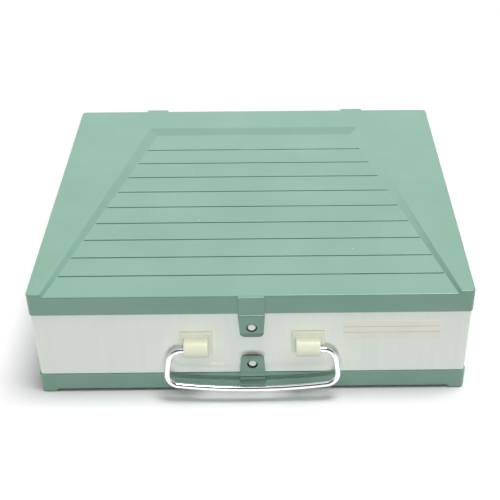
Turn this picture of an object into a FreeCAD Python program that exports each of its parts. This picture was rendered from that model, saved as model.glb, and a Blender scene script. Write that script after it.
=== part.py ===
import FreeCAD, Part
import math
import os
import Sketcher

# Slide storage case: a shallow lid and an alike bottom cover, both hinged at the back to a
# frame that holds the slide rack, with a latch at each seam and a wire handle on the front.
# X runs to the right, Y to the back and Z up. The origin is the middle of the footprint.

doc = FreeCAD.newDocument("SlideStorageCase")

# Millimetres, degrees or a count, one line for each size that can be set by itself.
drivingSizes = [
    ("caseWidth", 280, "width over both covers"),
    ("caseDepth", 244, "depth over both covers, without latches and hinges"),
    ("caseHeight", 80.8, "height from the resting face to the top"),
    ("lidHeight", 16.1, "height of the top cover from its rim to its outer face"),
    ("baseHeight", 14.95, "height of the bottom cover, in the same way"),
    ("cornerRadius", 3, "upright corners of the covers"),
    ("edgeRadius", 0.9, "rounding along the covers' outer edges"),
    ("skirtWall", 2.2, "wall of the covers' skirts"),
    ("plateWall", 2.2, "wall of the covers' plates"),
    ("recessDepth", 2, "sunk panel below the raised border"),
    ("recessBackSetback", 29, "back edge of a cover to the back of its sunk panel"),
    ("recessBackWidth", 164, "sunk panel at its back, over the slopes"),
    ("recessFrontWidth", 262.4, "sunk panel at the front edge, over the slopes"),
    ("slopeBack", 8.5, "run of the slope along the back of the panel"),
    ("slopeSideBack", 6, "run of the side slopes at the back"),
    ("slopeSideFront", 1.8, "run of the side slopes at the front"),
    ("grooveWidth", 0.9, "width of each groove in the sunk panel"),
    ("grooveDepth", 0.8, "depth of each groove"),
    ("grooveLip", 0.3, "rounding along each groove"),
    ("grooveEndGap", 0.5, "end of a groove to the foot of the slope"),
    ("groovePitch", 20.2, "groove to groove"),
    ("grooveBackSetback", 23, "back of the panel's floor to the first groove"),
    ("grooveFrontMargin", 20, "plain band at the front of the panel"),
    ("lugSpacing", 158, "hinge lug to hinge lug, centres"),
    ("lugWidth", 17.3, "width of each hinge lug"),
    ("lugProud", 2.8, "lug's back face behind the cover"),
    ("lugCorner", 1.2, "upright corners of the lugs"),
    ("hingeBeyondSeam", 5, "hinge axis past the cover's rim"),
    ("hingeReach", 4.6, "hinge axis behind the covers"),
    ("knuckleRadius", 4.2, "hinge knuckles and ears"),
    ("earWidth", 5, "width of each hinge ear on the frame"),
    ("earSideGap", 0.3, "gap between an ear and the lug beside it"),
    ("pinRadius", 1, "hinge pins"),
    ("pinClearance", 0.08, "radial play of a pin in its lug"),
    ("frameInset", 0.8, "frame's wall behind the covers' skirts"),
    ("seamGap", 0.3, "gap between a cover's rim and the frame's shoulder"),
    ("rimClearance", 0.3, "gap between a skirt and the frame's rim inside it"),
    ("rimWall", 1.6, "wall of the rims that the covers close over"),
    ("rimHeight", 5, "height of each rim past its shoulder"),
    ("ledgeRise", 2.4, "lower rim's edge to the ledge under the rack"),
    ("ledgeThick", 2, "thickness of that ledge"),
    ("ledgeWidth", 2.5, "width of that ledge"),
    ("floorThick", 2, "thickness of the rack's floor"),
    ("floorGap", 0.3, "gap around the rack's floor"),
    ("columnCount", 5, "columns of slides"),
    ("combHeight", 46, "height of the slotted walls above the floor"),
    ("webThick", 1.8, "slotted walls between two columns"),
    ("plateThick", 1.2, "slotted walls against the frame"),
    ("ribDepth", 1.6, "how far the ribs stand out"),
    ("ribWidth", 1.4, "width of each rib"),
    ("slotPitch", 4.75, "slide to slide"),
    ("webEndGap", 0.3, "gap between a slotted wall's end and the clips' shanks"),
    ("tabCount", 3, "tabs under each wall between two columns"),
    ("tabLength", 12, "length of each tab"),
    ("tabClearance", 0.1, "play of a tab in its slot, on each side"),
    ("tongueWidth", 16.8, "width of the latches' fixed roots"),
    ("tongueProud", 2.4, "latches in front of the covers"),
    ("tongueEdge", 0.6, "rounding of the latches' fixed roots"),
    ("upperRootRise", 0.25, "top cover's rim to its latch's fixed root"),
    ("lowerRootDrop", 1.9, "bottom cover's rim to its latch's fixed root"),
    ("lowerRootHeight", 2, "height of the lower latch's fixed root at full thickness"),
    ("lowerRootSlope", 5.1, "height of its slope below that, back towards the skirt"),
    ("lowerRootToe", 0.8, "thickness at the slope's end"),
    ("creaseGap", 0.3, "thinned line between a root and its flap"),
    ("flapThick", 1.9, "thickness of the flaps"),
    ("flapTipWidth", 14.6, "width of a flap at its tip"),
    ("flapCorner", 3.6, "rounded corners at the tip"),
    ("flapHoleRadius", 3.4, "hole that takes the stud"),
    ("upperFlapReach", 17.75, "upper flap's crease axis to its tip"),
    ("upperFlapTipGap", 0.4, "upper flap's tip in front of the frame"),
    ("upperTipThick", 1, "upper flap at its bevelled tip"),
    ("upperTipBevel", 4, "height of that bevel"),
    ("upperHoleDrop", 9.15, "upper flap's crease axis to its hole"),
    ("lowerFlapReach", 15.9, "lower flap's crease axis to its tip"),
    ("lowerFlapTipGap", 1.55, "lower flap's tip in front of the frame"),
    ("lowerTipThick", 1.6, "lower flap at its tip"),
    ("lowerTipBevel", 0.6, "height of its bevel"),
    ("lowerHoleDrop", 10.25, "lower flap's crease axis to its hole"),
    ("studRadius", 2.65, "head of a latch stud"),
    ("studReach", 2.6, "stud's face in front of the frame"),
    ("studShankRadius", 1.5, "stud's shank in the frame's wall"),
    ("studEdge", 0.5, "bevel around the stud's face"),
    ("clipSpacing", 71.7, "handle clip to handle clip, centres"),
    ("clipFlangeWidth", 21.2, "width of a clip's flange"),
    ("clipFlangeHeight", 17.4, "height of a clip's flange"),
    ("clipFlangeThick", 1.6, "thickness of a clip's flange"),
    ("clipFlangeBottom", 32.4, "height of the flange's lower edge"),
    ("clipFlangeCorner", 1, "corners of the flange"),
    ("clipFlangeEdge", 0.5, "rounding along the flange's face"),
    ("barrelWidth", 15.5, "width of a clip's barrel"),
    ("barrelRadius", 6, "rounding of the barrel"),
    ("barrelHeight", 39.4, "height of the barrel's middle"),
    ("barrelReach", 4.3, "centre of that rounding in front of the frame"),
    ("barrelEdge", 0.5, "rounding of the barrel's ends"),
    ("shankWidth", 11, "clip's shank through the frame"),
    ("shankHeight", 7, "height of that shank"),
    ("shankClearance", 0.1, "gap around the shank"),
    ("shankEnd", 0.3, "shank past its retainer"),
    ("retainerWidth", 15, "plate that holds the shank inside"),
    ("retainerHeight", 12, "height of that plate"),
    ("retainerThick", 1.5, "thickness of that plate"),
    ("wireRadius", 1.85, "handle wire"),
    ("wireClearance", 0.08, "radial play of the wire in a clip"),
    ("wireDepth", 8.5, "length of the wire's end inside a clip"),
    ("wireEndGap", 0.5, "bore past the wire's end"),
    ("handleReach", 4.5, "wire in front of the frame's wall"),
    ("handleAxisHeight", 37.9, "height of the wire's pivot"),
    ("handleTopWidth", 105.6, "sides of the handle, extended up to its pivot"),
    ("handleBottomWidth", 113.6, "sides of the handle, extended down to its grip"),
    ("handleTopBend", 9, "bend between pivot and side, on the wire's centre"),
    ("handleGripBend", 8, "bend between side and grip, on the wire's centre"),
    ("gripRadius", 400, "bow of the grip, on the wire's centre"),
    ("gripDrop", 28.1, "pivot to the grip's lowest point, on the wire's centre"),
    ("handleLean", 14, "degrees that the hanging handle stands off the wall"),
    ("labelWidth", 62.2, "paper label"),
    ("labelHeight", 13.8, "height of the label"),
    ("labelThick", 0.2, "thickness of the label"),
    ("labelEndGap", 18.4, "label's right edge to the frame's right side"),
    ("labelBottom", 43.45, "height of the label's lower edge"),
    ("labelTilt", -0.2, "degrees that the label leans"),
    ("cutOverrun", 1, "how far cuts run past the faces that they open"),
]


class Measure:
    # A length that carries its value and the formula that ties it to the sheet.
    def __init__(self, value, formula):
        self.value = value
        self.formula = formula

    def __add__(self, other):
        other = asMeasure(other)
        return Measure(self.value + other.value, f"({self.formula} + {other.formula})")

    def __sub__(self, other):
        other = asMeasure(other)
        return Measure(self.value - other.value, f"({self.formula} - {other.formula})")

    def __mul__(self, other):
        other = asMeasure(other)
        return Measure(self.value * other.value, f"({self.formula} * {other.formula})")

    def __truediv__(self, other):
        other = asMeasure(other)
        return Measure(self.value / other.value, f"({self.formula} / {other.formula})")

    def __neg__(self):
        return Measure(-self.value, f"(0 - {self.formula})")

    def __rmul__(self, other):
        return asMeasure(other) * self


def asMeasure(other):
    if isinstance(other, Measure):
        return other
    return Measure(float(other), repr(float(other)))


def fillSheet():
    sheet = doc.addObject("Spreadsheet::Sheet", "Sizes")
    measures = {}
    for row, (alias, number, note) in enumerate(drivingSizes, start=1):
        sheet.set(f"A{row}", note)
        sheet.set(f"B{row}", str(number))
        sheet.setAlias(f"B{row}", alias)
        measures[alias] = Measure(float(number), f"Sizes.{alias}")
    doc.recompute()
    return measures


size = fillSheet()

# Levels, from the resting face up.
lidSeam = size["caseHeight"] - size["lidHeight"]
upperShoulder = lidSeam - size["seamGap"]
lowerShoulder = size["baseHeight"] + size["seamGap"]
rimTop = upperShoulder + size["rimHeight"]
rimBottom = lowerShoulder - size["rimHeight"]
ledgeBottom = rimBottom + size["ledgeRise"]
ledgeTop = ledgeBottom + size["ledgeThick"]
floorTop = ledgeTop + size["floorThick"]
combTop = floorTop + size["combHeight"]
lidHingeHeight = lidSeam - size["hingeBeyondSeam"]
baseHingeHeight = size["baseHeight"] + size["hingeBeyondSeam"]

# Half widths and half depths, from the outside in.
coverHalfWidth = size["caseWidth"] / 2
coverHalfDepth = size["caseDepth"] / 2
skirtHalfWidth = coverHalfWidth - size["skirtWall"]
skirtHalfDepth = coverHalfDepth - size["skirtWall"]
wallHalfWidth = coverHalfWidth - size["frameInset"]
wallHalfDepth = coverHalfDepth - size["frameInset"]
rimHalfWidth = skirtHalfWidth - size["rimClearance"]
rimHalfDepth = skirtHalfDepth - size["rimClearance"]
roomHalfWidth = rimHalfWidth - size["rimWall"]
roomHalfDepth = rimHalfDepth - size["rimWall"]
frameWall = wallHalfDepth - roomHalfDepth
hingeDepth = coverHalfDepth + size["hingeReach"]

# Latches: the crease axes, and the studs that the flaps' holes drop over.
flapAxisDepth = coverHalfDepth + size["tongueProud"] - size["flapThick"] / 2
upperRootLow = lidSeam + size["upperRootRise"]
upperFlapHeight = upperRootLow - size["creaseGap"] - size["flapThick"] / 2
lowerRootTop = size["baseHeight"] - size["lowerRootDrop"]
lowerFlapHeight = lowerRootTop + size["creaseGap"] + size["flapThick"] / 2
upperStudHeight = upperFlapHeight - size["upperHoleDrop"]
lowerStudHeight = lowerFlapHeight + size["lowerHoleDrop"]

# Rack: the clear width of a column and the slots that fit between the end margins.
columns = int(size["columnCount"].value)
columnWidth = (
    2 * roomHalfWidth - 2 * size["plateThick"] - (size["columnCount"] - 1) * size["webThick"]
) / size["columnCount"]
webHalfLength = roomHalfDepth - size["retainerThick"] - size["shankEnd"] - size["webEndGap"]
slotCount = int((2 * webHalfLength - size["ribWidth"]).value / size["slotPitch"].value)

alongX = FreeCAD.Vector(1, 0, 0)
alongY = FreeCAD.Vector(0, 1, 0)
alongZ = FreeCAD.Vector(0, 0, 1)

# Two places closer than this are the same place.
nearly = 0.001


def newBody(label):
    body = doc.addObject("PartDesign::Body", label)
    body.Label = label
    return body


def originPlane(body, role):
    for feature in body.Origin.OriginFeatures:
        if feature.Role == role:
            return feature


def addSketch(body, name, role, offset=None):
    sketch = body.newObject("Sketcher::SketchObject", name)
    sketch.AttachmentSupport = [(originPlane(body, role), "")]
    sketch.MapMode = "FlatFace"
    if offset is not None:
        sketch.setExpression("AttachmentOffset.Base.z", asMeasure(offset).formula)
    return sketch


def joined(first, firstEnd, second, secondEnd):
    return Sketcher.Constraint("Coincident", first, firstEnd, second, secondEnd), None


def placed(kind, geometry, point, place):
    # Keeps one point of a sketch at its distance from the sketch's origin.
    place = asMeasure(place)
    if place.value == 0:
        axis = -2 if kind == "DistanceX" else -1
        return Sketcher.Constraint("PointOnObject", geometry, point, axis), None
    return Sketcher.Constraint(kind, -1, 1, geometry, point, place.value), place.formula


def placedPoint(geometry, point, u, v):
    return [placed("DistanceX", geometry, point, u), placed("DistanceY", geometry, point, v)]


def rounded(geometry, radius):
    return Sketcher.Constraint("Radius", geometry, radius.value), radius.formula


def constrain(sketch, pairs):
    # Adds constraints in one go and binds those that have a formula.
    first = sketch.ConstraintCount
    sketch.addConstraint([constraint for constraint, formula in pairs])
    for number, (constraint, formula) in enumerate(pairs, start=first):
        if formula:
            sketch.setExpression(f"Constraints[{number}]", formula)


def vector(u, v):
    return FreeCAD.Vector(asMeasure(u).value, asMeasure(v).value, 0)


def addPolygon(sketch, corners):
    # Straight sides from corner to corner.
    first = sketch.GeometryCount
    count = len(corners)
    ends = [vector(u, v) for u, v in corners]
    sketch.addGeometry([Part.LineSegment(ends[index], ends[(index + 1) % count]) for index in range(count)])
    pairs = []
    for index, (u, v) in enumerate(corners):
        pairs.append(joined(first + index, 2, first + (index + 1) % count, 1))
        pairs += placedPoint(first + index, 1, u, v)
    constrain(sketch, pairs)


def addRectangle(sketch, left, right, low, high):
    addPolygon(sketch, [(left, low), (right, low), (right, high), (left, high)])


def addCircle(sketch, u, v, radius):
    number = sketch.addGeometry(Part.Circle(vector(u, v), alongZ, radius.value))
    constrain(sketch, placedPoint(number, 3, u, v) + [rounded(number, radius)])


def addRoundEnd(sketch, flat, centre, middle, radius):
    # A flat back and a half-round nose about (centre, middle), as of an ear or a barrel.
    back = sketch.GeometryCount
    lowSide, nose, highSide = back + 1, back + 2, back + 3
    low = middle - radius
    high = middle + radius
    outwards = 1 if centre.value > flat.value else -1
    tip = centre + outwards * radius
    sketch.addGeometry([
        Part.LineSegment(vector(flat, high), vector(flat, low)),
        Part.LineSegment(vector(flat, low), vector(centre, low)),
        Part.Arc(vector(centre, low), vector(tip, middle), vector(centre, high)),
        Part.LineSegment(vector(centre, high), vector(flat, high)),
    ])
    # An arc runs anticlockwise, so the end that starts it depends on its side.
    noseLow, noseHigh = (1, 2) if outwards > 0 else (2, 1)
    pairs = [
        joined(back, 2, lowSide, 1),
        joined(lowSide, 2, nose, noseLow),
        joined(nose, noseHigh, highSide, 1),
        joined(highSide, 2, back, 1),
        placed("DistanceX", nose, 3, centre),
    ]
    pairs += placedPoint(back, 1, flat, high)
    pairs += placedPoint(back, 2, flat, low)
    pairs += placedPoint(lowSide, 2, centre, low)
    pairs += placedPoint(highSide, 1, centre, high)
    constrain(sketch, pairs)


def addFeature(body, kind, sketch, length, backwards=False, symmetric=False):
    # Pads grow along the sketch's normal and pockets cut against it, unless backwards.
    before = body.Shape.Volume if body.Tip else 0
    feature = body.newObject(f"PartDesign::{kind}", f"{sketch.Name}_{kind.lower()}")
    feature.Profile = sketch
    feature.setExpression("Length", asMeasure(length).formula)
    feature.Reversed = backwards
    if symmetric:
        feature.SideType = "Symmetric"
    doc.recompute()
    change = feature.Shape.Volume - before
    if (kind == "Pad" and change <= 0) or (kind == "Pocket" and change >= 0):
        raise RuntimeError(f"{feature.Name} changes nothing")
    return feature


def addPad(body, sketch, length, **options):
    return addFeature(body, "Pad", sketch, length, **options)


def addPocket(body, sketch, length, **options):
    return addFeature(body, "Pocket", sketch, length, **options)


def chosenEdges(shape, wanted):
    # Names of the edges whose two ends and middle all pass the test.
    names = []
    for number, edge in enumerate(shape.Edges, start=1):
        middle = edge.valueAt((edge.FirstParameter + edge.LastParameter) / 2)
        points = [vertex.Point for vertex in edge.Vertexes] + [middle]
        if all(wanted(point) for point in points) and wanted.direction(edge):
            names.append(f"Edge{number}")
    return names


class EdgeTest:
    # Chooses edges that lie where the place test says, along an axis or in any direction.
    def __init__(self, place, axis=None):
        self.place = place
        self.axis = axis

    def __call__(self, point):
        return self.place(point)

    def direction(self, edge):
        if self.axis is None:
            return True
        span = edge.Vertexes[-1].Point - edge.Vertexes[0].Point
        return span.Length > nearly and span.normalize().cross(self.axis).Length < nearly


def near(value, target):
    return abs(value - asMeasure(target).value) < nearly


def addFillet(body, name, place, radius, axis=None):
    edges = chosenEdges(body.Tip.Shape, EdgeTest(place, axis))
    if not edges:
        raise RuntimeError(f"{name} finds no edge")
    base = body.Tip
    fillet = body.newObject("PartDesign::Fillet", name)
    fillet.Base = (base, edges)
    fillet.setExpression("Radius", asMeasure(radius).formula)
    doc.recompute()
    return fillet


def addRoundedBlock(body, name, halfWidth, halfDepth, low, high, radius):
    # A block about the origin's upright axis, with rounded upright corners.
    sketch = addSketch(body, name, "XY_Plane", low)
    addRectangle(sketch, -halfWidth, halfWidth, -halfDepth, halfDepth)
    addPad(body, sketch, high - low)

    def atCorner(point):
        inside = low.value - nearly < point.z < high.value + nearly
        return near(abs(point.x), halfWidth) and near(abs(point.y), halfDepth) and inside

    addFillet(body, f"{name}_corners", atCorner, radius, alongZ)


# The covers are drawn with their rim at height 0 and their outer face up.

recessBack = coverHalfDepth - size["recessBackSetback"]
recessLength = recessBack + coverHalfDepth
floorBack = recessBack - size["slopeBack"]
floorLength = floorBack + coverHalfDepth
floorBackHalf = size["recessBackWidth"] / 2 - size["slopeSideBack"]
floorFrontHalf = size["recessFrontWidth"] / 2 - size["slopeSideFront"]
rimBackHalf = size["recessBackWidth"] / 2
rimFrontHalf = size["recessFrontWidth"] / 2


def panelHalfWidth(depth):
    # Half width of the sunk panel's floor at a distance from the middle of the case.
    share = (floorBack - depth) / floorLength
    return floorBackHalf + (floorFrontHalf - floorBackHalf) * share


def borderHalfWidth(depth):
    # Half width of the raised border's inner edge, in the same way.
    share = (recessBack - depth) / recessLength
    return rimBackHalf + (rimFrontHalf - rimBackHalf) * share


def addLugs(body, height):
    sketch = addSketch(body, f"{body.Name}_lugs", "XY_Plane", -size["hingeBeyondSeam"])
    for side in (-1, 1):
        middle = side * size["lugSpacing"] / 2
        left = middle - size["lugWidth"] / 2
        right = middle + size["lugWidth"] / 2
        addRectangle(sketch, left, right, coverHalfDepth, coverHalfDepth + size["lugProud"])
    addPad(body, sketch, height + size["hingeBeyondSeam"])

    def atCorner(point):
        return near(point.y, coverHalfDepth + size["lugProud"])

    addFillet(body, f"{body.Name}_lug_corners", atCorner, size["lugCorner"], alongZ)


def addKnuckles(body):
    for side, name in ((-1, "left"), (1, "right")):
        start = side * size["lugSpacing"] / 2 - size["lugWidth"] / 2
        sketch = addSketch(body, f"{body.Name}_knuckle_{name}", "YZ_Plane", start)
        addCircle(sketch, hingeDepth, -size["hingeBeyondSeam"], size["knuckleRadius"])
        addPad(body, sketch, size["lugWidth"])
    bores = addSketch(body, f"{body.Name}_knuckle_bores", "YZ_Plane")
    bore = size["pinRadius"] + size["pinClearance"]
    addCircle(bores, hingeDepth, -size["hingeBeyondSeam"], bore)
    addPocket(body, bores, size["caseWidth"], symmetric=True)


def addRecess(body, height, panelTop):
    front = -coverHalfDepth - size["cutOverrun"]
    outer = addSketch(body, f"{body.Name}_recess_top", "XY_Plane", height)
    outerFront = borderHalfWidth(front)
    addPolygon(outer, [
        (-rimBackHalf, recessBack), (-outerFront, front), (outerFront, front), (rimBackHalf, recessBack),
    ])
    inner = addSketch(body, f"{body.Name}_recess_floor", "XY_Plane", panelTop)
    innerFront = panelHalfWidth(front)
    addPolygon(inner, [
        (-floorBackHalf, floorBack), (-innerFront, front), (innerFront, front), (floorBackHalf, floorBack),
    ])
    before = body.Shape.Volume
    loft = body.newObject("PartDesign::SubtractiveLoft", f"{body.Name}_recess")
    loft.Profile = outer
    loft.Sections = [inner]
    loft.Ruled = True
    doc.recompute()
    if loft.Shape.Volume >= before:
        raise RuntimeError(f"{loft.Name} cuts nothing")


def grooveDepths():
    # Where the grooves lie, from the back: as many as fit before the plain front band.
    room = floorLength - size["grooveBackSetback"] - size["grooveFrontMargin"]
    count = int(room.value / size["groovePitch"].value) + 1
    first = floorBack - size["grooveBackSetback"]
    return [first - number * size["groovePitch"] for number in range(count)]


def addGrooves(body, panelTop):
    sketch = addSketch(body, f"{body.Name}_grooves", "XY_Plane", panelTop)
    half = size["grooveWidth"] / 2
    for depth in grooveDepths():
        end = panelHalfWidth(depth + half) - size["grooveEndGap"]
        addRectangle(sketch, -end, end, depth - half, depth + half)
    addPocket(body, sketch, size["grooveDepth"])

    def onLip(point):
        beside = any(near(abs(point.y - depth.value), half) for depth in grooveDepths())
        return beside and near(point.z, panelTop)

    addFillet(body, f"{body.Name}_groove_lips", onLip, size["grooveLip"], alongX)


def addCavity(body, panelTop):
    cavityTop = panelTop - size["plateWall"]
    cavity = addSketch(body, f"{body.Name}_cavity", "XY_Plane")
    addRectangle(cavity, -skirtHalfWidth, skirtHalfWidth, -skirtHalfDepth, skirtHalfDepth)
    addPocket(body, cavity, cavityTop, backwards=True)
    # The raised border is hollow behind, so that the wall stays even.
    hollow = addSketch(body, f"{body.Name}_border_hollow", "XY_Plane", cavityTop)
    frontHalf = borderHalfWidth(-skirtHalfDepth)
    addPolygon(hollow, [
        (-skirtHalfWidth, -skirtHalfDepth), (-frontHalf, -skirtHalfDepth), (-rimBackHalf, recessBack),
        (rimBackHalf, recessBack), (frontHalf, -skirtHalfDepth), (skirtHalfWidth, -skirtHalfDepth),
        (skirtHalfWidth, skirtHalfDepth), (-skirtHalfWidth, skirtHalfDepth),
    ])
    addPocket(body, hollow, size["recessDepth"], backwards=True)


def addLatchRoot(body, low, high):
    sketch = addSketch(body, f"{body.Name}_latch_root", "XY_Plane", low)
    half = size["tongueWidth"] / 2
    face = -coverHalfDepth - size["tongueProud"]
    addRectangle(sketch, -half, half, face, -coverHalfDepth)
    addPad(body, sketch, high - low)

    def onFace(point):
        return near(point.y, face)

    def onEnd(point):
        return near(point.z, high) and point.y < -coverHalfDepth.value + nearly

    addFillet(body, f"{body.Name}_latch_root_sides", onFace, size["tongueEdge"], alongZ)
    addFillet(body, f"{body.Name}_latch_root_end", onEnd, size["tongueEdge"])


def slopeLatchRoot(body, start, end):
    # Cuts the root back from its full thickness to a thin toe.
    cut = addSketch(body, f"{body.Name}_latch_slope", "YZ_Plane")
    face = -coverHalfDepth - size["tongueProud"]
    toe = -coverHalfDepth - size["lowerRootToe"]
    past = face - size["cutOverrun"]
    addPolygon(cut, [(past, start), (face, start), (toe, end), (past, end)])
    addPocket(body, cut, size["tongueWidth"] + 2 * size["cutOverrun"], symmetric=True)


def makeCover(label, height, latchLow, latchHigh):
    body = newBody(label)
    panelTop = height - size["recessDepth"]
    outline = addSketch(body, f"{label}_outline", "XY_Plane")
    addRectangle(outline, -coverHalfWidth, coverHalfWidth, -coverHalfDepth, coverHalfDepth)
    addPad(body, outline, height)

    def atCorner(point):
        return near(abs(point.x), coverHalfWidth) and near(abs(point.y), coverHalfDepth)

    addFillet(body, f"{label}_corners", atCorner, size["cornerRadius"], alongZ)
    addLugs(body, height)

    def onOuterFace(point):
        return near(point.z, height)

    addFillet(body, f"{label}_outer_edge", onOuterFace, size["edgeRadius"])
    addRecess(body, height, panelTop)

    def onPanelFront(point):
        return near(point.y, -coverHalfDepth) and near(point.z, panelTop)

    addFillet(body, f"{label}_panel_front", onPanelFront, size["edgeRadius"])
    addGrooves(body, panelTop)
    addCavity(body, panelTop)
    addKnuckles(body)
    addLatchRoot(body, latchLow, latchHigh)
    return body


def makeTopCover():
    height = size["lidHeight"]
    body = makeCover("top_cover", height, size["upperRootRise"], height - size["recessDepth"])
    body.setExpression("Placement.Base.z", lidSeam.formula)


def makeBottomCover():
    height = size["baseHeight"]
    rootLow = size["lowerRootDrop"]
    slopeStart = rootLow + size["lowerRootHeight"]
    slopeEnd = slopeStart + size["lowerRootSlope"]
    body = makeCover("bottom_cover", height, rootLow, slopeEnd)
    slopeLatchRoot(body, slopeStart, slopeEnd)
    body.Placement = FreeCAD.Placement(FreeCAD.Vector(0, 0, 0), FreeCAD.Rotation(alongY, 180))
    body.setExpression("Placement.Base.z", height.formula)


def makeFrame():
    body = newBody("case_frame")
    rimCorner = size["cornerRadius"] - size["skirtWall"] - size["rimClearance"]
    addRoundedBlock(body, "frame_rims", rimHalfWidth, rimHalfDepth, rimBottom, rimTop, rimCorner)
    wallCorner = size["cornerRadius"] - size["frameInset"]
    addRoundedBlock(
        body, "frame_wall", wallHalfWidth, wallHalfDepth, lowerShoulder, upperShoulder, wallCorner
    )
    room = addSketch(body, "frame_room", "XY_Plane", ledgeTop)
    addRectangle(room, -roomHalfWidth, roomHalfWidth, -roomHalfDepth, roomHalfDepth)
    addPocket(body, room, rimTop - ledgeTop, backwards=True)
    under = addSketch(body, "frame_under_ledge", "XY_Plane", rimBottom)
    addRectangle(under, -roomHalfWidth, roomHalfWidth, -roomHalfDepth, roomHalfDepth)
    addPocket(body, under, size["ledgeRise"], backwards=True)
    opening = addSketch(body, "frame_ledge_opening", "XY_Plane", ledgeBottom)
    openHalfWidth = roomHalfWidth - size["ledgeWidth"]
    openHalfDepth = roomHalfDepth - size["ledgeWidth"]
    addRectangle(opening, -openHalfWidth, openHalfWidth, -openHalfDepth, openHalfDepth)
    addPocket(body, opening, size["ledgeThick"], backwards=True)
    addEars(body)
    addWallHoles(body)


def addEars(body):
    # A pair of ears takes each lug between them, rooted in the back wall.
    root = wallHalfDepth - size["cutOverrun"]
    beside = size["lugWidth"] / 2 + size["earSideGap"]
    for side in (-1, 1):
        middle = side * size["lugSpacing"] / 2
        starts = (middle - beside - size["earWidth"], middle + beside)
        for start in starts:
            sketch = addSketch(body, "frame_ear", "YZ_Plane", start)
            addRoundEnd(sketch, root, hingeDepth, lidHingeHeight, size["knuckleRadius"])
            addRoundEnd(sketch, root, hingeDepth, baseHingeHeight, size["knuckleRadius"])
            addPad(body, sketch, size["earWidth"])
    bores = addSketch(body, "frame_pin_bores", "YZ_Plane")
    addCircle(bores, hingeDepth, lidHingeHeight, size["pinRadius"])
    addCircle(bores, hingeDepth, baseHingeHeight, size["pinRadius"])
    addPocket(body, bores, size["caseWidth"], symmetric=True)


def addWallHoles(body):
    # Holes in the front wall for the clips' shanks and the latch studs.
    start = wallHalfDepth + size["cutOverrun"]
    depth = frameWall + 2 * size["cutOverrun"]
    sketch = addSketch(body, "frame_front_holes", "XZ_Plane", start)
    halfWidth = size["shankWidth"] / 2 + size["shankClearance"]
    halfHeight = size["shankHeight"] / 2 + size["shankClearance"]
    low = size["barrelHeight"] - halfHeight
    high = size["barrelHeight"] + halfHeight
    for side in (-1, 1):
        middle = side * size["clipSpacing"] / 2
        addRectangle(sketch, middle - halfWidth, middle + halfWidth, low, high)
    addCircle(sketch, 0, upperStudHeight, size["studShankRadius"])
    addCircle(sketch, 0, lowerStudHeight, size["studShankRadius"])
    addPocket(body, sketch, depth)


def webPlace(number):
    # Middle of a slotted wall between two columns, numbered from the left.
    step = columnWidth + size["webThick"]
    return -roomHalfWidth + size["plateThick"] + number * step - size["webThick"] / 2


def tabPlaces():
    # Tabs spread evenly along a wall, one step from each end.
    count = int(size["tabCount"].value)
    step = 2 * webHalfLength / (size["tabCount"] + 1)
    return [-webHalfLength + number * step for number in range(1, count + 1)]


def makeRackFloor():
    body = newBody("rack_floor")
    sketch = addSketch(body, "rack_floor_outline", "XY_Plane", ledgeTop)
    halfWidth = roomHalfWidth - size["floorGap"]
    halfDepth = roomHalfDepth - size["floorGap"]
    addRectangle(sketch, -halfWidth, halfWidth, -halfDepth, halfDepth)
    addPad(body, sketch, size["floorThick"])
    slots = addSketch(body, "rack_floor_slots", "XY_Plane", floorTop)
    acrossHalf = size["webThick"] / 2 + size["tabClearance"]
    alongHalf = size["tabLength"] / 2 + size["tabClearance"]
    for number in range(1, columns):
        middle = webPlace(number)
        left = middle - acrossHalf
        right = middle + acrossHalf
        for place in tabPlaces():
            addRectangle(slots, left, right, place - alongHalf, place + alongHalf)
    addPocket(body, slots, size["floorThick"])


def addRibs(body, start, thick, symmetric):
    # One rib at the front end, repeated to the back, so that slides stand between them.
    sketch = addSketch(body, f"{body.Name}_rib", "YZ_Plane", start)
    first = -slotCount * size["slotPitch"] / 2
    half = size["ribWidth"] / 2
    addRectangle(sketch, first - half, first + half, floorTop, combTop)
    rib = addPad(body, sketch, thick, symmetric=symmetric)
    pattern = body.newObject("PartDesign::LinearPattern", f"{body.Name}_ribs")
    pattern.Originals = [rib]
    pattern.Direction = (sketch, ["H_Axis"])
    pattern.setExpression("Length", (slotCount * size["slotPitch"]).formula)
    pattern.Occurrences = slotCount + 1
    body.Tip = pattern
    doc.recompute()
    if pattern.Shape.Volume <= rib.Shape.Volume:
        raise RuntimeError(f"{pattern.Name} adds nothing")


def makeDivider(number):
    body = newBody(f"rack_divider_{number}")
    sketch = addSketch(body, f"{body.Name}_web", "YZ_Plane")
    corners = [(-webHalfLength, combTop), (-webHalfLength, floorTop)]
    for place in tabPlaces():
        front = place - size["tabLength"] / 2
        back = place + size["tabLength"] / 2
        corners += [(front, floorTop), (front, ledgeTop), (back, ledgeTop), (back, floorTop)]
    corners += [(webHalfLength, floorTop), (webHalfLength, combTop)]
    addPolygon(sketch, corners)
    addPad(body, sketch, size["webThick"], symmetric=True)
    addRibs(body, None, size["webThick"] + 2 * size["ribDepth"], True)
    body.setExpression("Placement.Base.x", webPlace(number).formula)


def makeSideCombs():
    for label, side in (("rack_comb_left", -1), ("rack_comb_right", 1)):
        body = newBody(label)
        face = side * roomHalfWidth
        sketch = addSketch(body, f"{label}_plate", "YZ_Plane", face)
        addRectangle(sketch, -webHalfLength, webHalfLength, floorTop, combTop)
        addPad(body, sketch, size["plateThick"], backwards=side > 0)
        middle = side * (roomHalfWidth - (size["plateThick"] + size["ribDepth"]) / 2)
        addRibs(body, middle, size["plateThick"] + size["ribDepth"], True)


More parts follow.
